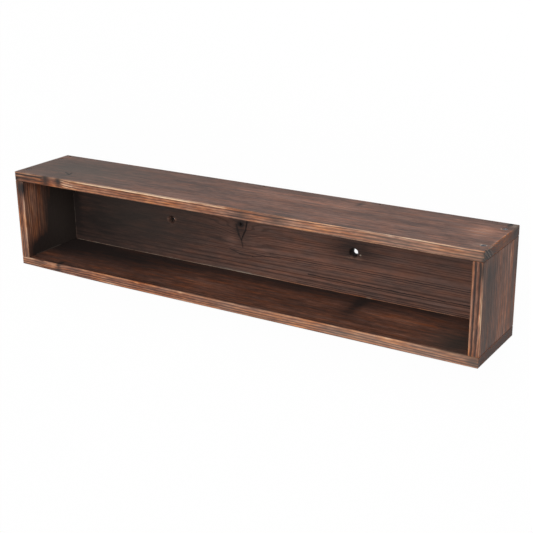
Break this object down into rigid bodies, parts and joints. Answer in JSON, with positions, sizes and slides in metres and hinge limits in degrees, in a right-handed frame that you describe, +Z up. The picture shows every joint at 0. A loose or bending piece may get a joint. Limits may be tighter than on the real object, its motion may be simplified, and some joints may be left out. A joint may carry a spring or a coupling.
{
  "type": "window box planter",
  "caption": "Long open-topped wooden planter box of scorched softwood boards, screwed at the corners, with a let-in base and drain holes.",
  "frame": {"origin": "middle of the underside, at the centre of the box's footprint", "axes": "+X along the length, +Y towards the rear side board, +Z up through the open top"},
  "size_m": [0.8, 0.16, 0.126],
  "materials": {
    "scorched_softwood": "torched, brushed and stained, satin",
    "screw_steel": "blackened",
    "nail_steel": "dull"
  },
  "bodies": {
    "root": {"front_side_board": "scorched_softwood", "rear_side_board": "scorched_softwood", "left_end_board": "scorched_softwood", "right_end_board": "scorched_softwood", "base_board": "scorched_softwood", "front_left_screws": "screw_steel", "front_right_screws": "screw_steel", "rear_left_screws": "screw_steel", "rear_right_screws": "screw_steel", "front_nails": "nail_steel", "rear_nails": "nail_steel"}
  },
  "joints": []
}
